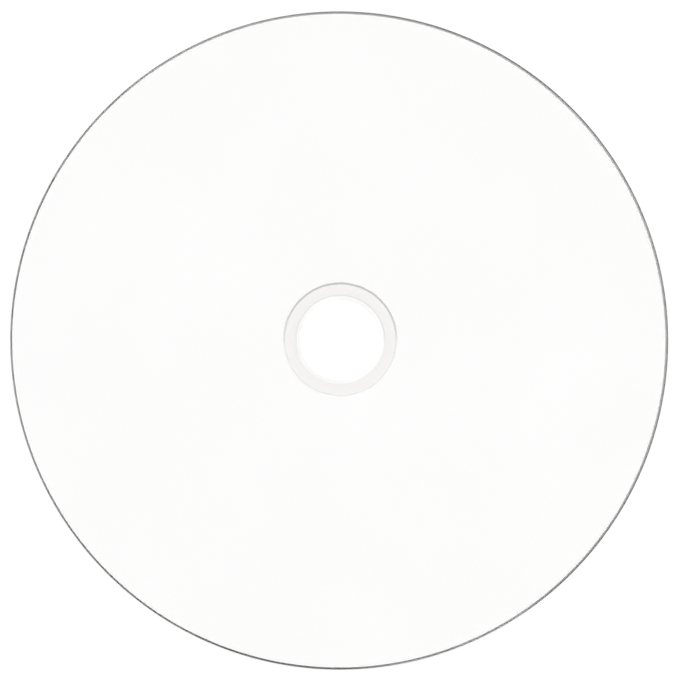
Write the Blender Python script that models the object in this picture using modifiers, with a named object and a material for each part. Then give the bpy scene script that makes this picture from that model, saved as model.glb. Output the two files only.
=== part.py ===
# A recordable optical disc for blue-laser drives, 120 mm across, lying with its printable side up.
# It is a bonded stack, turned about one axis: a moulded clear substrate, a recording film on its
# read side, a thin clear cover layer over that film, and a white printable coat on the label side.
# Units are metres and +Z is up. The origin is on the disc's axis, at the foot of the stacking ring.

import math

import bmesh
import bpy
from mathutils import Vector

# Disc outline
DISC_DIAMETER = 0.1200
HOLE_DIAMETER = 0.0150

# Thickness of each layer, from the label side down
COAT_THICKNESS = 0.00004
SUBSTRATE_THICKNESS = 0.00110
FILM_THICKNESS = 0.00001
COVER_THICKNESS = 0.00010

# Moulded edges of the substrate
RIM_ROUND_LABEL = 0.00043
RIM_ROUND_READ = 0.00012
HOLE_LEAD_IN_LABEL = 0.00025
HOLE_LEAD_IN_READ = 0.00015

# Gate step: the cutter that frees the disc from its sprue leaves the hole's label-side edge lower
GATE_STEP_WIDTH = 0.00070
GATE_STEP_SLOPE = 0.00028
GATE_STEP_DEPTH = 0.00006

# Sleeve line: the fine line that the mould's ejector sleeve leaves in the bare hub ring
SLEEVE_LINE_FROM_HOLE = 0.00256
SLEEVE_LINE_WIDTH = 0.00016
SLEEVE_LINE_DEPTH = 0.00004

# Printable coat: the bare hub ring inside it, and the bare ledge between it and the rim's rounding
HUB_RING_WIDTH = 0.00285
COAT_LEDGE = 0.00002
COAT_EDGE_BEVEL = 0.00003

# Stacking ring: a low moulded ring on the read side that keeps stacked discs apart
STACK_RING_FROM_HOLE = 0.00305
STACK_RING_FOOT = 0.00050
STACK_RING_FLANK = 0.00016
STACK_RING_STANDOFF = 0.00010
STACK_RING_BEVEL = 0.00008

# Holder groove: what the stamper's inner holder leaves in the read side, outside the stacking ring
HOLDER_GROOVE_FROM_RING = 0.00010
HOLDER_GROOVE_WIDTH = 0.00032
HOLDER_GROOVE_DEPTH = 0.00012
GROOVE_WALL_SHARE = 0.3  # of the groove's width, for each of its two sloping walls

# Cover layer: it runs from just outside the holder groove to a bare ledge at the rim's rounding
COVER_FROM_GROOVE = 0.00014
COVER_LEDGE = 0.00008
COVER_EDGE_BEVEL = 0.00005

# Recording film: it starts outside the clear clamping band and stops short of the cover's edge
CLEAR_BAND_WIDTH = 0.00857
FILM_EDGE_SEAL = 0.00012

# How finely the shapes are cut
TURN_STEPS = 120
RIM_ARC_STEPS = 4
SEAM_MERGE = 0.0000001

# Radii that several layers share
disc_radius = DISC_DIAMETER / 2
hole_radius = HOLE_DIAMETER / 2
sleeve_line_start = hole_radius + SLEEVE_LINE_FROM_HOLE
coat_inner_radius = hole_radius + HUB_RING_WIDTH
coat_outer_radius = disc_radius - RIM_ROUND_LABEL - COAT_LEDGE
stack_ring_start = hole_radius + STACK_RING_FROM_HOLE
stack_ring_end = stack_ring_start + STACK_RING_FOOT + 2 * STACK_RING_FLANK
holder_groove_start = stack_ring_end + HOLDER_GROOVE_FROM_RING
holder_groove_end = holder_groove_start + HOLDER_GROOVE_WIDTH
cover_inner_radius = holder_groove_end + COVER_FROM_GROOVE
cover_outer_radius = disc_radius - RIM_ROUND_READ - COVER_LEDGE
film_inner_radius = cover_inner_radius + CLEAR_BAND_WIDTH
film_outer_radius = cover_outer_radius - FILM_EDGE_SEAL

# Height of each layer's lower face above the foot of the stacking ring
cover_height = STACK_RING_STANDOFF
substrate_height = cover_height + COVER_THICKNESS
film_height = substrate_height - FILM_THICKNESS
coat_height = substrate_height + SUBSTRATE_THICKNESS


def clear_scene():
    for obj in list(bpy.data.objects):
        bpy.data.objects.remove(obj, do_unlink=True)


def surface(name, colour, roughness, metallic=0.0, transmission=0.0, ior=1.5):
    material = bpy.data.materials.new(name)
    material.use_nodes = True
    material.diffuse_color = (*colour, 1.0)
    shader = material.node_tree.nodes["Principled BSDF"]
    shader.inputs["Base Color"].default_value = (*colour, 1.0)
    shader.inputs["Roughness"].default_value = roughness
    shader.inputs["Metallic"].default_value = metallic
    shader.inputs["Transmission Weight"].default_value = transmission
    shader.inputs["IOR"].default_value = ior
    return material


def softened(before, corner, after, radius, steps):
    """The corner of an outline as an arc that meets the straight runs on both sides of it."""
    to_before = (before - corner).normalized()
    to_after = (after - corner).normalized()
    half_angle = to_before.angle(to_after) / 2
    centre = corner + (to_before + to_after).normalized() * radius / math.sin(half_angle)
    setback = radius / math.tan(half_angle)
    start = corner + to_before * setback - centre
    end = corner + to_after * setback - centre
    return [centre + start.slerp(end, step / steps) * radius for step in range(steps + 1)]


def outline(corners):
    """A closed outline from corners given as (radius, height), plus (rounding, arc steps) if soft."""
    places = [Vector(corner[:2]) for corner in corners]
    points = []
    for index, corner in enumerate(corners):
        if len(corner) == 2:
            points.append(places[index])
        else:
            after = places[(index + 1) % len(places)]
            points += softened(places[index - 1], places[index], after, *corner[2:])
    return points


def turned(name, corners, height, material, collection, axis):
    """An outline turned about the disc's axis, with its zero height set at its place in the stack."""
    section = bmesh.new()
    points = [section.verts.new((point.x, 0.0, point.y)) for point in outline(corners)]
    for start, end in zip(points, points[1:] + points[:1]):
        section.edges.new((start, end))
    mesh = bpy.data.meshes.new(name)
    section.to_mesh(mesh)
    section.free()
    mesh.materials.append(material)

    obj = bpy.data.objects.new(name, mesh)
    collection.objects.link(obj)
    obj.parent = axis
    obj.location.z = height

    turning = obj.modifiers.new("Turn about the axis", "SCREW")
    turning.axis = "Z"
    turning.angle = math.tau
    turning.steps = TURN_STEPS
    turning.render_steps = TURN_STEPS
    turning.use_merge_vertices = True
    turning.merge_threshold = SEAM_MERGE
    turning.use_smooth_shade = True

    shading = obj.modifiers.new("Keep flat faces flat", "WEIGHTED_NORMAL")
    shading.mode = "FACE_AREA"
    return obj


def printable_coat():
    """A screen-printed ring: its lower face lies on the substrate, and its upper edges are soft."""
    edge = min(COAT_EDGE_BEVEL, COAT_THICKNESS)
    return [
        (coat_inner_radius, 0.0),
        (coat_inner_radius, COAT_THICKNESS, edge, 1),
        (coat_outer_radius, COAT_THICKNESS, edge, 1),
        (coat_outer_radius, 0.0),
    ]


def substrate():
    """The moulding: gate step, sleeve line and rim above, holder groove and stacking ring below."""
    top = SUBSTRATE_THICKNESS
    step = top - GATE_STEP_DEPTH
    step_end = hole_radius + GATE_STEP_WIDTH
    groove_wall = HOLDER_GROOVE_WIDTH * GROOVE_WALL_SHARE
    foot = -(COVER_THICKNESS + STACK_RING_STANDOFF)
    return [
        (hole_radius + HOLE_LEAD_IN_LABEL, step),
        (step_end - GATE_STEP_SLOPE, step),
        (step_end, top),
        (sleeve_line_start, top),
        (sleeve_line_start + SLEEVE_LINE_WIDTH / 2, top - SLEEVE_LINE_DEPTH),
        (sleeve_line_start + SLEEVE_LINE_WIDTH, top),
        (disc_radius, top, RIM_ROUND_LABEL, RIM_ARC_STEPS),
        (disc_radius, 0.0, RIM_ROUND_READ, RIM_ARC_STEPS),
        (holder_groove_end, 0.0),
        (holder_groove_end - groove_wall, HOLDER_GROOVE_DEPTH),
        (holder_groove_start + groove_wall, HOLDER_GROOVE_DEPTH),
        (holder_groove_start, 0.0),
        (stack_ring_end, 0.0),
        (stack_ring_end - STACK_RING_FLANK, foot, STACK_RING_BEVEL, 1),
        (stack_ring_start + STACK_RING_FLANK, foot, STACK_RING_BEVEL, 1),
        (stack_ring_start, 0.0),
        (hole_radius + HOLE_LEAD_IN_READ, 0.0),
        (hole_radius, HOLE_LEAD_IN_READ),
        (hole_radius, step - HOLE_LEAD_IN_LABEL),
    ]


def recording_film():
    """A flat ring that fills the pocket in the cover layer's upper face."""
    return [
        (film_inner_radius, FILM_THICKNESS),
        (film_outer_radius, FILM_THICKNESS),
        (film_outer_radius, 0.0),
        (film_inner_radius, 0.0),
    ]


def cover_layer():
    """A clear ring that closes over the film and is bonded to the substrate on both sides of it."""
    top = COVER_THICKNESS
    pocket = top - FILM_THICKNESS
    edge = min(COVER_EDGE_BEVEL, COVER_THICKNESS)
    return [
        (cover_inner_radius, top),
        (film_inner_radius, top),
        (film_inner_radius, pocket),
        (film_outer_radius, pocket),
        (film_outer_radius, top),
        (cover_outer_radius, top),
        (cover_outer_radius, 0.0, edge, 1),
        (cover_inner_radius, 0.0, edge, 1),
    ]


def build():
    clear_scene()
    disc = bpy.data.collections.new("Recordable disc")
    bpy.context.scene.collection.children.link(disc)
    axis = bpy.data.objects.new("disc_axis", None)
    axis.empty_display_type = "SINGLE_ARROW"
    axis.empty_display_size = hole_radius
    disc.objects.link(axis)

    white_coat = surface("Matt white ink-receiving coat", (0.94, 0.94, 0.94), 0.55)
    clear_plastic = surface(
        "Clear moulded polycarbonate", (0.95, 0.95, 0.94), 0.05, transmission=1.0, ior=1.585
    )
    film_metal = surface("Dark mirror recording film", (0.30, 0.31, 0.38), 0.12, metallic=1.0)
    cover_resin = surface(
        "Clear hard-coated cover resin", (0.97, 0.97, 0.98), 0.02, transmission=1.0, ior=1.52
    )

    turned("printable_coat", printable_coat(), coat_height, white_coat, disc, axis)
    turned("substrate", substrate(), substrate_height, clear_plastic, disc, axis)
    turned("recording_film", recording_film(), film_height, film_metal, disc, axis)
    turned("cover_layer", cover_layer(), cover_height, cover_resin, disc, axis)


build()
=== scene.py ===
import math

import bmesh
import bpy
from mathutils import Matrix, Vector


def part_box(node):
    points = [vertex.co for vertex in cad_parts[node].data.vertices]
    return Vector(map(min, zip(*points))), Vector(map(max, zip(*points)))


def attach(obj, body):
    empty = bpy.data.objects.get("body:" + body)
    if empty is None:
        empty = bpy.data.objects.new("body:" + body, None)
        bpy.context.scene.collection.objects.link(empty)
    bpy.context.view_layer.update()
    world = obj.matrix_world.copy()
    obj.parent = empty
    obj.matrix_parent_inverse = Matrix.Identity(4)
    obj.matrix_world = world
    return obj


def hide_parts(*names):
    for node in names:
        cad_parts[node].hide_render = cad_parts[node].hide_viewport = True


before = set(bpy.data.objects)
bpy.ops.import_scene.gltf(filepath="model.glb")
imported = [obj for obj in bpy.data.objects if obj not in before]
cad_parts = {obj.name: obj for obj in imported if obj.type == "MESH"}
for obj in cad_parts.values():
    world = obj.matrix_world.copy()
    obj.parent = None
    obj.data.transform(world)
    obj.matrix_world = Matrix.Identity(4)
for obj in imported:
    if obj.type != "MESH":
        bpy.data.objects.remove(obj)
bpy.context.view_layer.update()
print("frame loaded:", ", ".join(sorted(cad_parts)))

mm = 0.001  # lengths are in metres, unless a note says otherwise


# Places on the disc, read from the turned CAD nodes

def ringOf(node):  # inner and outer radius, bottom and top
    radii = [vertex.co.xy.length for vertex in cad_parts[node].data.vertices]
    low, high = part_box(node)
    return min(radii), max(radii), low.z, high.z


holeRadius, discRadius, footHeight, labelFace = ringOf("substrate")
coatInner, coatOuter, coatFloor, coatTop = ringOf("printable_coat")
coverInner, coverOuter, coverFace, readFace = ringOf("cover_layer")
filmInner, filmOuter, filmFace, filmTop = ringOf("recording_film")


# Objects and turned meshes

def addObject(name, data):
    thing = bpy.data.objects.new(name, data)
    bpy.context.scene.collection.objects.link(thing)
    return thing


def meshObject(name, shape):
    mesh = bpy.data.meshes.new(name)
    shape.to_mesh(mesh)
    shape.free()
    return addObject(name, mesh)


def leaning(lean, towards):  # a direction that leans from straight up towards a compass angle
    lean = math.radians(lean)
    towards = math.radians(towards)
    level = math.sin(lean)
    return Vector((level * math.cos(towards), level * math.sin(towards), math.cos(lean)))


def softCorner(before, corner, after, radius, steps):
    toBefore = (before - corner).normalized()
    toAfter = (after - corner).normalized()
    halfAngle = toBefore.angle(toAfter) / 2
    centre = corner + (toBefore + toAfter).normalized() * radius / math.sin(halfAngle)
    setback = radius / math.tan(halfAngle)
    start = corner + toBefore * setback - centre
    end = corner + toAfter * setback - centre
    return [centre + start.slerp(end, step / steps) * radius for step in range(steps + 1)]


def outlineOf(corners, steps):  # corners are (radius, height) or (radius, height, rounding)
    places = [Vector(corner[:2]) for corner in corners]
    points = []
    for index, corner in enumerate(corners):
        if len(corner) == 2:
            points.append(places[index])
        else:
            after = places[(index + 1) % len(places)]
            points += softCorner(places[index - 1], places[index], after, corner[2], steps)
    return points


def turnedPiece(name, corners, look, wander=None):  # an outline, turned about the disc's axis
    outline = outlineOf(corners, look["arcSteps"])
    shape = bmesh.new()
    rings = []
    for turn in range(look["turnSteps"]):
        angle = math.tau * turn / look["turnSteps"]
        ring = []
        for point in outline:
            radius, height = wander(point, angle) if wander else point
            place = (radius * math.cos(angle), radius * math.sin(angle), height)
            ring.append(shape.verts.new(place))
        rings.append(ring)
    for here, ahead in zip(rings, rings[1:] + rings[:1]):
        for i in range(len(outline)):
            j = (i + 1) % len(outline)
            shape.faces.new((here[i], here[j], ahead[j], ahead[i]))
    bmesh.ops.recalc_face_normals(shape, faces=shape.faces)
    piece = meshObject(name, shape)
    piece.data.shade_smooth()
    piece.data.set_sharp_from_angle(angle=math.radians(look["sharpAngle"]))
    shading = piece.modifiers.new("flat faces stay flat", "WEIGHTED_NORMAL")
    shading.keep_sharp = True
    return piece


def dress(piece, node, material):
    piece.data.materials.append(material)
    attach(piece, "root")
    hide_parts(node)
    print("made", piece.name, "with", len(piece.data.polygons), "faces")


# Node helpers

def addNode(tree, kind, values=None, **options):
    node = tree.nodes.new(kind)
    for name, value in options.items():
        setattr(node, name, value)
    for socket, value in (values or {}).items():
        if isinstance(value, bpy.types.NodeSocket):
            tree.links.new(value, node.inputs[socket])
        else:
            node.inputs[socket].default_value = value
    return node


def maths(tree, operation, first, second=0.0):
    return addNode(tree, "ShaderNodeMath", {0: first, 1: second}, operation=operation).outputs[0]


def vectors(tree, operation, first, second=None):
    values = {0: first} if second is None else {0: first, 1: second}
    node = addNode(tree, "ShaderNodeVectorMath", values, operation=operation)
    return node.outputs["Value" if operation in ("LENGTH", "DOT_PRODUCT") else "Vector"]


def spread(tree, value, fromLow, fromHigh, toLow, toHigh, smooth=False):
    limits = {"From Min": fromLow, "From Max": fromHigh, "To Min": toLow, "To Max": toHigh}
    kind = "SMOOTHSTEP" if smooth else "LINEAR"
    node = addNode(tree, "ShaderNodeMapRange", {"Value": value, **limits}, interpolation_type=kind)
    return node.outputs["Result"]


def mixValues(tree, share, first, second):
    return addNode(tree, "ShaderNodeMix", {0: share, 2: first, 3: second}).outputs[0]


def mixColours(tree, share, first, second):
    colours = {6: first, 7: second}
    for socket, colour in colours.items():
        if isinstance(colour, tuple):
            colours[socket] = (*colour, 1.0)
    return addNode(tree, "ShaderNodeMix", {0: share, **colours}, data_type="RGBA").outputs[2]


def noise(tree, place, scale, detail):
    return addNode(tree, "ShaderNodeTexNoise", {"Vector": place, "Scale": scale, "Detail": detail})


def useGroup(tree, group, values=None):
    return addNode(tree, "ShaderNodeGroup", values, node_tree=group)


def newMaterial(name):
    material = bpy.data.materials.new(name)
    material.use_nodes = True
    material.node_tree.nodes.clear()
    return material, material.node_tree


def output(tree, shader, kind="Material"):
    addNode(tree, "ShaderNodeOutput" + kind, {"Surface": shader.outputs[0]})


# Effects that several of the disc's surfaces share

def newGroup(name, inputs, outputs):
    group = bpy.data.node_groups.new(name, "ShaderNodeTree")
    for label, value in inputs.items():
        socket = group.interface.new_socket(label, in_out="INPUT", socket_type="NodeSocketFloat")
        socket.default_value = value
    for label in outputs:
        group.interface.new_socket(label, in_out="OUTPUT", socket_type="NodeSocketFloat")
    return group


def objectPlace(tree):
    return addNode(tree, "ShaderNodeTexCoord").outputs["Object"]


# Where a point lies on the disc: radius and height in millimetres, and turn from 0 to 1
def makeDiscPlace():
    group = newGroup("discPlace", {}, ("Radius", "Height", "Turn"))
    split = addNode(group, "ShaderNodeSeparateXYZ", {0: objectPlace(group)}).outputs
    flat = addNode(group, "ShaderNodeCombineXYZ", {0: split[0], 1: split[1]}).outputs[0]
    radius = maths(group, "DIVIDE", vectors(group, "LENGTH", flat), mm)
    height = maths(group, "DIVIDE", split[2], mm)
    turn = spread(group, maths(group, "ARCTAN2", split[1], split[0]), -math.pi, math.pi, 0.0, 1.0)
    addNode(group, "NodeGroupOutput", {"Radius": radius, "Height": height, "Turn": turn})
    return group


grainLook = {
    "detail": 3.0,
    "speckleFrom": 0.35,  # the noise runs from 0 to 1, and the mask between these two values
    "speckleTo": 0.65,
}


# Soft speckle of a given size in millimetres, with a slow drift across the disc
def makeFineGrain():
    inputs = {"Grain Size": 0.2, "Drift Size": 20.0, "Drift Share": 0.3}
    group = newGroup("fineGrain", inputs, ("Height", "Mask"))
    given = addNode(group, "NodeGroupInput").outputs
    layers = []
    for label in ("Grain Size", "Drift Size"):
        scale = maths(group, "DIVIDE", 1.0, maths(group, "MULTIPLY", given[label], mm))
        layers.append(noise(group, objectPlace(group), scale, grainLook["detail"]).outputs[0])
    grain, drift = layers
    grainShare = maths(group, "SUBTRACT", 1.0, given["Drift Share"])
    grainPart = maths(group, "MULTIPLY", grain, grainShare)
    driftPart = maths(group, "MULTIPLY", drift, given["Drift Share"])
    both = maths(group, "ADD", grainPart, driftPart)
    mask = spread(group, both, grainLook["speckleFrom"], grainLook["speckleTo"], 0.0, 1.0, smooth=True)
    addNode(group, "NodeGroupOutput", {"Height": grain, "Mask": mask})
    return group


hairlineLook = {
    "bendsPerMetre": 60.0,
    "bendDetail": 1.0,
    "bendReach": 20 * mm,
    "width": 0.006,  # as a share of the spacing
    "breaksPerMetre": 220.0,  # how often a scratch stops and starts again
    "breakDetail": 2.0,
    "breakFrom": 0.55,
    "breakTo": 0.7,
}


# Fine handling scratches, each running its own way, with their spacing in millimetres
def makeHairlines():
    look = hairlineLook
    group = newGroup("hairlines", {"Spacing": 6.0, "Amount": 0.2}, ("Mask",))
    given = addNode(group, "NodeGroupInput").outputs
    place = objectPlace(group)
    scale = maths(group, "DIVIDE", 1.0, maths(group, "MULTIPLY", given["Spacing"], mm))
    bend = noise(group, place, look["bendsPerMetre"], look["bendDetail"]).outputs["Color"]
    pulled = vectors(group, "MULTIPLY", bend, (look["bendReach"], look["bendReach"], 0.0))
    values = {"Vector": vectors(group, "ADD", place, pulled), "Scale": scale}
    cells = addNode(group, "ShaderNodeTexVoronoi", values, feature="DISTANCE_TO_EDGE")
    line = spread(group, cells.outputs["Distance"], 0.0, look["width"], 1.0, 0.0)
    broken = noise(group, place, look["breaksPerMetre"], look["breakDetail"]).outputs[0]
    shown = spread(group, broken, look["breakFrom"], look["breakTo"], 0.0, 1.0, smooth=True)
    mask = maths(group, "MULTIPLY", maths(group, "MULTIPLY", line, shown), given["Amount"])
    addNode(group, "NodeGroupOutput", {"Mask": mask})
    return group


discPlace = makeDiscPlace()
fineGrain = makeFineGrain()
hairlines = makeHairlines()
print("shared surface effects made")


def useGrain(tree, look):
    return useGroup(tree, fineGrain, {
        "Grain Size": look["grainSize"],
        "Drift Size": look["driftSize"],
        "Drift Share": look["driftShare"],
    }).outputs


# White printable coat

rimRound = 0.43 * mm  # the moulded rounding between the label face and the disc's side

coatLook = {
    "arcSteps": 4,
    "turnSteps": 512,
    "sharpAngle": 50.0,
    "edgeSlope": 0.05 * mm,  # how far the ink's edge thins out
    "edgeLip": 0.012 * mm,
    "edgeRound": 0.02 * mm,
    "edgeBand": 0.3 * mm,  # between an edge and the flat middle of the print
    "wander": 0.012 * mm,  # unevenness of the printed edges
    "waves": (  # what it is made of: waves round the disc, how strong, and their starts in radians
        {"count": 7, "share": 1.0, "start": 0.6, "outerShift": 1.0},
        {"count": 19, "share": 0.6, "start": 0.0, "outerShift": 2.1},
        {"count": 43, "share": 0.4, "start": 0.0, "outerShift": 0.0},
    ),
    # Bare ledge that the print leaves on average at each edge, and how far it sits to one side, towards
    # which compass angle, anticlockwise from +X, because it is never quite centred on a real disc
    "outerEdge": {"bare": 0.015 * mm, "aside": 0.11 * mm, "towards": 214.0},
    "innerEdge": {"bare": 0.04 * mm, "aside": 0.03 * mm, "towards": 90.0},
    "lift": 0.002 * mm,  # clear of the plastic below, so the two faces don't flicker
    "white": (0.965, 0.965, 0.962),
    "shade": (0.945, 0.945, 0.94),
    "grainSize": 0.16,  # millimetres, as is the next
    "driftSize": 28.0,
    "driftShare": 0.35,
    "bump": 0.25,
    "bumpDepth": 0.004 * mm,
    "roughLow": 0.6,
    "roughHigh": 0.74,
    "shine": 0.1,  # an open, porous surface mirrors little
}


def coatWander(point, angle):  # where the printed edge really runs, and how it follows the rounding
    look = coatLook
    outside = point.x > (coatInner + coatOuter) / 2
    edge = look["outerEdge" if outside else "innerEdge"]
    wave = 0.0
    highest = 0.0
    for part in look["waves"]:
        start = part["start"] + part["outerShift"] * outside
        wave += part["share"] * math.sin(part["count"] * angle + start)
        highest += part["share"]
    uneven = look["wander"] * (1.0 + wave / highest)
    inward = edge["bare"] + uneven
    aside = edge["aside"] * math.cos(angle - math.radians(edge["towards"]))
    radius = point.x + aside + (-inward if outside else inward)
    pastFlat = max(0.0, radius - (discRadius - rimRound))
    drop = rimRound - math.sqrt(rimRound ** 2 - pastFlat ** 2)
    return radius, point.y - drop


def makeCoat():
    look = coatLook
    bottom = coatFloor + look["lift"]
    lip = bottom + look["edgeLip"]
    corners = [
        (coatInner, bottom),
        (coatInner, lip),
        (coatInner + look["edgeSlope"], coatTop, look["edgeRound"]),
        (coatInner + look["edgeBand"], coatTop),
        (coatOuter - look["edgeBand"], coatTop),
        (coatOuter - look["edgeSlope"], coatTop, look["edgeRound"]),
        (coatOuter, lip),
        (coatOuter, bottom),
    ]
    return turnedPiece("white_coat", corners, look, coatWander)


def coatMaterial():
    look = coatLook
    material, tree = newMaterial("matt ink coat")
    grain = useGrain(tree, look)
    bump = addNode(tree, "ShaderNodeBump", {
        "Strength": look["bump"],
        "Distance": look["bumpDepth"],
        "Height": grain["Height"],
    })
    shader = addNode(tree, "ShaderNodeBsdfPrincipled", {
        "Base Color": mixColours(tree, grain["Mask"], look["shade"], look["white"]),
        "Roughness": spread(tree, grain["Mask"], 0.0, 1.0, look["roughHigh"], look["roughLow"]),
        "Specular IOR Level": look["shine"],
        "Normal": bump.outputs[0],
    })
    output(tree, shader)
    return material


dress(makeCoat(), "printable_coat", coatMaterial())


# Clear moulded substrate

substrateLook = {
    "arcSteps": 8,
    "turnSteps": 512,
    "sharpAngle": 40.0,
    "rimRoundLabel": rimRound,
    "rimRoundRead": 0.12 * mm,
    "holeLeadInLabel": 0.25 * mm,
    "holeLeadInRead": 0.15 * mm,
    "labelHoleRound": 0.05 * mm,
    "readHoleRound": 0.03 * mm,
    "gateStepWidth": 0.70 * mm,
    "gateStepSlope": 0.28 * mm,
    "gateStepDepth": 0.06 * mm,
    "sleeveLineFromHole": 2.56 * mm,
    "sleeveLineWidth": 0.16 * mm,
    "sleeveLineDepth": 0.04 * mm,
    "sleeveLineEdgeRound": 0.01 * mm,
    "sleeveLineFloorRound": 0.02 * mm,
    "stackRingFromHole": 3.05 * mm,
    "stackRingFoot": 0.50 * mm,
    "stackRingFlank": 0.16 * mm,
    "stackRingRound": 0.06 * mm,
    "stackRingRootRound": 0.02 * mm,
    "grooveFromRing": 0.10 * mm,
    "grooveWidth": 0.32 * mm,
    "grooveDepth": 0.12 * mm,
    "grooveWall": 0.10 * mm,
    "grooveRound": 0.03 * mm,
    "tint": (0.816, 0.807, 0.803),
    # painted light: a clearer tint that makes the lead-ins and the hole's wall render lighter
    "leadInPaintedLight": (1.0, 1.0, 0.995),
    "paintedLightFromHole": 0.20 * mm,  # on the label face: where the lead-in's painted light, a clearer tint, ends,
    "tintFromHole": 0.40 * mm,  # and where the disc's begins
    "paintedLightWidens": 0.33,  # both lie further out by this share of the depth below that face
    "ior": 1.585,
    "grainSize": 0.5,  # millimetres, as are driftSize and markSpacing
    "driftSize": 9.0,
    "driftShare": 0.6,
    "roughLow": 0.01,
    "roughHigh": 0.05,
    "markSpacing": 7.0,
    "markAmount": 0.15,
    "flow": 0.05,  # faint ripple from moulding
    "flowDepth": 0.002 * mm,
    "shadowTint": (0.93, 0.93, 0.92),
    "edgeShadow": (0.35, 0.35, 0.35),
    "bounceShare": 0.5,  # of the loss at steep walls, for light that has bounced
}


def makeSubstrate():
    look = substrateLook
    step = labelFace - look["gateStepDepth"]
    stepEnd = holeRadius + look["gateStepWidth"]
    lineStart = holeRadius + look["sleeveLineFromHole"]
    lineEnd = lineStart + look["sleeveLineWidth"]
    lineMiddle = lineStart + look["sleeveLineWidth"] / 2
    ringStart = holeRadius + look["stackRingFromHole"]
    ringEnd = ringStart + look["stackRingFoot"] + 2 * look["stackRingFlank"]
    grooveStart = ringEnd + look["grooveFromRing"]
    grooveEnd = grooveStart + look["grooveWidth"]
    grooveTop = readFace + look["grooveDepth"]
    corners = [
        (holeRadius + look["holeLeadInLabel"], step, look["labelHoleRound"]),
        (stepEnd - look["gateStepSlope"], step, look["labelHoleRound"]),
        (stepEnd, labelFace, look["labelHoleRound"]),
        (lineStart, labelFace, look["sleeveLineEdgeRound"]),
        (lineMiddle, labelFace - look["sleeveLineDepth"], look["sleeveLineFloorRound"]),
        (lineEnd, labelFace, look["sleeveLineEdgeRound"]),
        (discRadius, labelFace, look["rimRoundLabel"]),
        (discRadius, readFace, look["rimRoundRead"]),
        (grooveEnd, readFace, look["grooveRound"]),
        (grooveEnd - look["grooveWall"], grooveTop, look["grooveRound"]),
        (grooveStart + look["grooveWall"], grooveTop, look["grooveRound"]),
        (grooveStart, readFace, look["grooveRound"]),
        (ringEnd, readFace, look["stackRingRootRound"]),
        (ringEnd - look["stackRingFlank"], footHeight, look["stackRingRound"]),
        (ringStart + look["stackRingFlank"], footHeight, look["stackRingRound"]),
        (ringStart, readFace, look["stackRingRootRound"]),
        (holeRadius + look["holeLeadInRead"], readFace, look["readHoleRound"]),
        (holeRadius, readFace + look["holeLeadInRead"], look["readHoleRound"]),
        (holeRadius, step - look["holeLeadInLabel"], look["labelHoleRound"]),
    ]
    return turnedPiece("clear_disc", corners, look)


# Clear plastic has the disc's tint. The lead-ins and the hole's wall get a clearer one, which is
# painted light: it makes them render lighter than the same plastic elsewhere
def tintFromHole(tree, look):
    place = useGroup(tree, discPlace).outputs
    depth = maths(tree, "SUBTRACT", labelFace / mm, place["Height"])
    further = maths(tree, "MULTIPLY", depth, look["paintedLightWidens"])
    radius = maths(tree, "SUBTRACT", place["Radius"], further)
    paintedLightEnd = (holeRadius + look["paintedLightFromHole"]) / mm
    tintStart = (holeRadius + look["tintFromHole"]) / mm
    tinted = spread(tree, radius, paintedLightEnd, tintStart, 0.0, 1.0, smooth=True)
    # painted light on the lead-ins and hole wall, fading into the disc's own tint
    return mixColours(tree, tinted, look["leadInPaintedLight"], look["tint"])


def clearMaterial(name, look):
    material, tree = newMaterial(name)
    grain = useGrain(tree, look)
    marks = useGroup(tree, hairlines, {"Spacing": look["markSpacing"], "Amount": look["markAmount"]})
    rough = spread(tree, grain["Mask"], 0.0, 1.0, look["roughLow"], look["roughHigh"])
    flow = addNode(tree, "ShaderNodeBump", {
        "Strength": look["flow"],
        "Distance": look["flowDepth"],
        "Height": grain["Height"],
    })
    plastic = addNode(tree, "ShaderNodeBsdfPrincipled", {
        "Base Color": tintFromHole(tree, look) if "leadInPaintedLight" in look else (*look["tint"], 1.0),
        "Roughness": maths(tree, "ADD", rough, marks.outputs["Mask"]),
        "IOR": look["ior"],
        "Transmission Weight": 1.0,
        "Normal": flow.outputs[0],
    })
    # Light on its way to what lies below passes straight through, less of it where the wall is steep
    path = addNode(tree, "ShaderNodeLightPath").outputs
    facing = addNode(tree, "ShaderNodeLayerWeight").outputs["Facing"]
    bounced = maths(tree, "MULTIPLY", path["Is Diffuse Ray"], look["bounceShare"])
    loss = maths(tree, "MAXIMUM", path["Is Shadow Ray"], bounced)
    steep = maths(tree, "MULTIPLY", facing, loss)
    passed = mixColours(tree, steep, look["shadowTint"], look["edgeShadow"])
    through = addNode(tree, "ShaderNodeBsdfTransparent", {"Color": passed})
    unseen = maths(tree, "MAXIMUM", path["Is Shadow Ray"], path["Is Diffuse Ray"])
    values = {0: unseen, 1: plastic.outputs[0], 2: through.outputs[0]}
    output(tree, addNode(tree, "ShaderNodeMixShader", values))
    return material


clearPlastic = clearMaterial("clear moulded plastic", substrateLook)
dress(makeSubstrate(), "substrate", clearPlastic)


# Recording film

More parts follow.
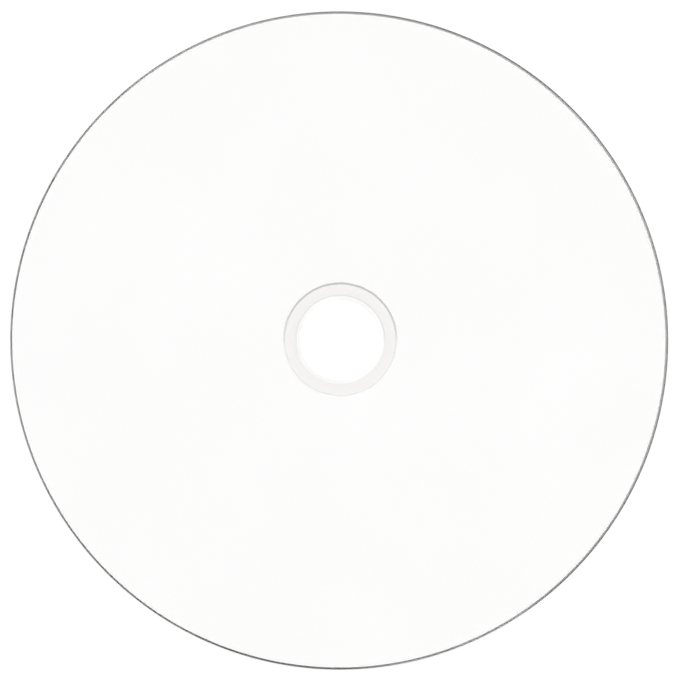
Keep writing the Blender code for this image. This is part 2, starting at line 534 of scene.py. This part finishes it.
filmLook = {
    "arcSteps": 2,
    "turnSteps": 512,
    "sharpAngle": 30.0,
    "gap": 0.002 * mm,
    "innerMirrorWidth": 0.5 * mm,  # the bands, from the film's inner edge outwards
    "cutBandWidth": 1.2 * mm,
    "leadInWidth": 1.8 * mm,
    "outerMirrorWidth": 1.18 * mm,  # and from its outer edge inwards
    "leadOutWidth": 0.4 * mm,
    "bandSoftness": 0.03 * mm,  # to each side of a band's end
    "data": (0.33, 0.32, 0.41),
    "lead": (0.30, 0.29, 0.36),
    "mirror": (0.45, 0.45, 0.52),
    "cutMark": (0.22, 0.21, 0.27),
    "cutMarkPlaces": 1400.0,  # round the disc
    "cutMarkGaps": 0.62,  # share of those places that stay empty
    "cutMarkStrength": 0.6,
    "silver": (0.635, 0.635, 0.635),  # the reflector, which faces the label side
    "grainSize": 0.8,  # millimetres, as is the next
    "driftSize": 35.0,
    "driftShare": 0.6,
    "roughLow": 0.12,
    "roughHigh": 0.2,
    "grooveSpread": 0.85,
    "grooveTurn": 0.25,  # highlights stretch across the grooves, away from the axis
}


def makeFilm():
    low = filmFace + filmLook["gap"]
    high = filmTop - filmLook["gap"]
    corners = [
        (filmInner, high),
        (filmOuter, high),
        (filmOuter, low),
        (filmInner, low),
    ]
    return turnedPiece("mirror_film", corners, filmLook)


def filmMaterial():
    look = filmLook
    material, tree = newMaterial("dark mirror film")
    place = useGroup(tree, discPlace).outputs
    grain = useGrain(tree, look)

    innerMirrorEnd = filmInner + look["innerMirrorWidth"]
    cutBandEnd = innerMirrorEnd + look["cutBandWidth"]
    leadInEnd = cutBandEnd + look["leadInWidth"]
    leadOutEnd = filmOuter - look["outerMirrorWidth"]
    dataEnd = leadOutEnd - look["leadOutWidth"]

    def beyond(bandEnd):  # 1 outside that radius and 0 inside it
        low = (bandEnd - look["bandSoftness"]) / mm
        high = (bandEnd + look["bandSoftness"]) / mm
        return spread(tree, place["Radius"], low, high, 0.0, 1.0, smooth=True)

    # Fine radial marks in a band near the hub. They come at random and spell nothing
    cutBand = maths(tree, "SUBTRACT", beyond(innerMirrorEnd), beyond(cutBandEnd))
    number = maths(tree, "FLOOR", maths(tree, "MULTIPLY", place["Turn"], look["cutMarkPlaces"]))
    chance = addNode(tree, "ShaderNodeTexWhiteNoise", {"W": number}, noise_dimensions="1D")
    marked = maths(tree, "GREATER_THAN", chance.outputs["Value"], look["cutMarkGaps"])
    marks = maths(tree, "MULTIPLY", maths(tree, "MULTIPLY", marked, cutBand), look["cutMarkStrength"])

    colour = mixColours(tree, beyond(cutBandEnd), look["mirror"], look["lead"])
    for bandEnd, tone in ((leadInEnd, "data"), (dataEnd, "lead"), (leadOutEnd, "mirror")):
        colour = mixColours(tree, beyond(bandEnd), colour, look[tone])
    colour = mixColours(tree, marks, colour, look["cutMark"])
    normal = addNode(tree, "ShaderNodeTexCoord").outputs["Normal"]
    upward = addNode(tree, "ShaderNodeSeparateXYZ", {0: normal}).outputs[2]
    colour = mixColours(tree, maths(tree, "GREATER_THAN", upward, 0.5), colour, look["silver"])
    tangent = addNode(tree, "ShaderNodeTangent", direction_type="RADIAL", axis="Z")
    shader = addNode(tree, "ShaderNodeBsdfPrincipled", {
        "Base Color": colour,
        "Metallic": 1.0,
        "Roughness": spread(tree, grain["Mask"], 0.0, 1.0, look["roughLow"], look["roughHigh"]),
        "Anisotropic": look["grooveSpread"],
        "Anisotropic Rotation": look["grooveTurn"],
        "Tangent": tangent.outputs[0],
    })
    output(tree, shader)
    return material


dress(makeFilm(), "recording_film", filmMaterial())


# Clear cover layer over the film

coverLook = {
    "arcSteps": 4,
    "turnSteps": 512,
    "sharpAngle": 40.0,
    "edgeRound": 0.05 * mm,
    "gap": 0.002 * mm,
    "tint": (0.99, 0.99, 0.995),
    "ior": 1.52,
    "grainSize": 0.5,  # millimetres, as are driftSize and markSpacing
    "driftSize": 9.0,
    "driftShare": 0.6,
    "roughLow": 0.0,
    "roughHigh": 0.02,
    "markSpacing": 7.0,
    "markAmount": 0.15,
    "flow": 0.02,
    "flowDepth": 0.002 * mm,
    "shadowTint": (0.95, 0.95, 0.95),
    "edgeShadow": (0.4, 0.4, 0.4),
    "bounceShare": 0.5,
}


def makeCover():
    gap = coverLook["gap"]
    edgeRound = coverLook["edgeRound"]
    top = readFace - gap
    pocket = filmFace - gap
    corners = [
        (coverInner, top),
        (filmInner - gap, top),
        (filmInner - gap, pocket),
        (filmOuter + gap, pocket),
        (filmOuter + gap, top),
        (coverOuter, top),
        (coverOuter, coverFace, edgeRound),
        (coverInner, coverFace, edgeRound),
    ]
    return turnedPiece("clear_cover", corners, coverLook)


dress(makeCover(), "cover_layer", clearMaterial("clear cover resin", coverLook))


# Floor

floorLook = {
    "size": 4.0,
    "squares": 4,
    "paper": 0.93,
    "paperInPicture": 0.14,
    "glowInPicture": 0.88,  # with the paper's own light this is white in the picture
    "paperInGlass": 0.65,
    "glowInGlass": 0.45,
}


def makeFloor():
    squares = floorLook["squares"]
    shape = bmesh.new()
    bmesh.ops.create_grid(shape, x_segments=squares, y_segments=squares, size=floorLook["size"] / 2)
    floor = meshObject("floor", shape)
    floor.data.materials.append(floorMaterial())
    print("floor made")


def floorMaterial():
    look = floorLook
    material, tree = newMaterial("studio paper")
    path = addNode(tree, "ShaderNodeLightPath").outputs
    inPicture = path["Is Camera Ray"]
    inGlass = maths(tree, "MAXIMUM", path["Is Glossy Ray"], path["Is Transmission Ray"])
    pale = mixValues(tree, inGlass, look["paper"], look["paperInGlass"])
    pale = mixValues(tree, inPicture, pale, look["paperInPicture"])
    glow = maths(tree, "MULTIPLY", inGlass, look["glowInGlass"])
    glow = mixValues(tree, inPicture, glow, look["glowInPicture"])
    tone = addNode(tree, "ShaderNodeCombineXYZ", {0: pale, 1: pale, 2: pale}).outputs[0]
    paper = addNode(tree, "ShaderNodeBsdfDiffuse", {"Color": tone})
    light = addNode(tree, "ShaderNodeEmission", {"Color": (1.0, 1.0, 1.0, 1.0), "Strength": glow})
    lit = addNode(tree, "ShaderNodeAddShader", {0: paper.outputs[0], 1: light.outputs[0]})
    # Seen from below, the paper isn't there, so the read side can be looked at
    behind = addNode(tree, "ShaderNodeNewGeometry").outputs["Backfacing"]
    cameFromBelow = maths(tree, "GREATER_THAN", path["Transparent Depth"], 0.5)
    gone = maths(tree, "MAXIMUM", behind, cameFromBelow)
    clear = addNode(tree, "ShaderNodeBsdfTransparent")
    values = {0: gone, 1: lit.outputs[0], 2: clear.outputs[0]}
    output(tree, addNode(tree, "ShaderNodeMixShader", values))
    return material


makeFloor()


# Light. A box is a softbox as gloss and glass see it: the direction that it stands in, the cosines of
# the angles at which it ends and is at its full strength, and that strength

lightLook = {
    "keyStrength": 2.86,
    "keyLean": 13.0,  # degrees from straight overhead
    "keyFrom": 93.0,  # compass angle that the key comes from, anticlockwise from +X
    "keySpread": 5.0,
    "fill": 0.14,
    "fillBelow": 1.4,  # on what is seen from below
    "fillBelowLater": 0.8,  # on what only lights something else
    "overheadBox": {"towards": (0.0, 0.35, 0.94), "edge": 0.86, "core": 0.93, "glow": 2.4},
    "sideBoxes": (
        {"towards": (-0.87, 0.5, 0.0), "edge": 0.1, "core": 0.9, "glow": 4.5},
        {"towards": (0.39, -0.92, 0.0), "edge": 0.94, "core": 0.99, "glow": 6.0},
    ),
    "lowBoxes": (  # under the disc, for its read side
        {"towards": (0.45, 0.35, -0.82), "edge": 0.755, "core": 0.9, "glow": 0.9},
        {"towards": (0.6, -0.5, -0.62), "edge": 0.85, "core": 0.95, "glow": 0.8},
    ),
    "ceilingGlow": 0.1,
    "wallGlow": 0.5,
    "wallFadeStart": 0.35,  # sines of the elevation between which the pale walls end
    "wallTop": 0.55,
    "floorGlow": 0.12,
    "floorEnd": -0.6,  # sines of the elevation between which the floor gives way to the walls
    "wallBottom": -0.05,
    "brightestThroughGlass": 1.0,
}


def makeKey():
    look = lightLook
    lamp = bpy.data.lights.new("key", "SUN")
    lamp.energy = look["keyStrength"]
    lamp.angle = math.radians(look["keySpread"])
    key = addObject("key", lamp)
    key.rotation_euler = leaning(look["keyLean"], look["keyFrom"]).to_track_quat("Z", "Y").to_euler()
    key.visible_glossy = False
    key.visible_transmission = False


def boxGlow(tree, direction, box, around=0.0):  # around is what the room gives beside the box
    facing = vectors(tree, "DOT_PRODUCT", direction, box["towards"])
    return spread(tree, facing, box["edge"], box["core"], around, box["glow"], smooth=True)


def makeWorld():
    look = lightLook
    world = bpy.data.worlds.new("studio")
    bpy.context.scene.world = world
    world.use_nodes = True
    tree = world.node_tree
    tree.nodes.clear()
    path = addNode(tree, "ShaderNodeLightPath").outputs
    direction = addNode(tree, "ShaderNodeTexCoord").outputs["Generated"]
    height = addNode(tree, "ShaderNodeSeparateXYZ", {0: direction}).outputs[2]

    # The room that gloss and glass see
    overhead = boxGlow(tree, direction, look["overheadBox"], look["ceilingGlow"])
    level = vectors(tree, "NORMALIZE", vectors(tree, "MULTIPLY", direction, (1.0, 1.0, 0.0)))
    walls = look["wallGlow"]
    for box in look["sideBoxes"]:
        walls = maths(tree, "ADD", walls, boxGlow(tree, level, box))
    wallShare = spread(tree, height, look["wallFadeStart"], look["wallTop"], 1.0, 0.0, smooth=True)
    above = maths(tree, "MAXIMUM", overhead, maths(tree, "MULTIPLY", walls, wallShare))
    below = spread(tree, height, look["floorEnd"], look["wallBottom"], look["floorGlow"],
                   look["wallGlow"], smooth=True)
    for box in look["lowBoxes"]:
        below = maths(tree, "ADD", below, boxGlow(tree, direction, box))
    isUp = maths(tree, "GREATER_THAN", height, 0.0)
    room = mixValues(tree, isUp, below, above)
    dimmed = maths(tree, "MINIMUM", room, look["brightestThroughGlass"])
    room = mixValues(tree, path["Is Transmission Ray"], room, dimmed)

    # The even light on matt surfaces, and white for the camera. Light that has bounced twice is later
    later = maths(tree, "GREATER_THAN", path["Diffuse Depth"], 1.5)
    lowFill = mixValues(tree, later, look["fillBelow"], look["fillBelowLater"])
    fill = mixValues(tree, isUp, lowFill, look["fill"])
    inGloss = maths(tree, "MAXIMUM", path["Is Glossy Ray"], path["Is Transmission Ray"])
    strength = mixValues(tree, inGloss, fill, room)
    strength = mixValues(tree, path["Is Camera Ray"], strength, 1.0)
    values = {"Color": (1.0, 1.0, 1.0, 1.0), "Strength": strength}
    output(tree, addNode(tree, "ShaderNodeBackground", values), "World")


makeKey()
makeWorld()
print("lights made")


# Camera

cameraLook = {
    "lens": 200.0,
    "sensor": 36.0,
    "nearest": 1 * mm,
    "frameWidth": 1.032,  # disc diameters that the picture takes in at the label face
    "aimX": -0.06 * mm,
    "aimY": -0.04 * mm,
    "lean": 2.4,  # degrees off straight down
    "leanFrom": 212.5,  # compass angle that it leans towards, anticlockwise from +X
}


def makeCamera():
    look = cameraLook
    data = bpy.data.cameras.new("camera")
    data.lens = look["lens"]
    data.sensor_width = look["sensor"]
    data.clip_start = look["nearest"]
    camera = addObject("camera", data)
    back = leaning(look["lean"], look["leanFrom"])
    right = (-back).cross(Vector((0.0, 1.0, 0.0))).normalized()
    turned = Matrix((right, back.cross(right), back)).transposed().to_4x4()
    aim = Vector((look["aimX"], look["aimY"], coatTop))
    distance = look["frameWidth"] * 2 * discRadius * look["lens"] / look["sensor"]
    camera.matrix_world = Matrix.Translation(aim + back * distance) @ turned
    bpy.context.scene.camera = camera


makeCamera()
bpy.context.scene.view_settings.view_transform = "Standard"
print("camera made")
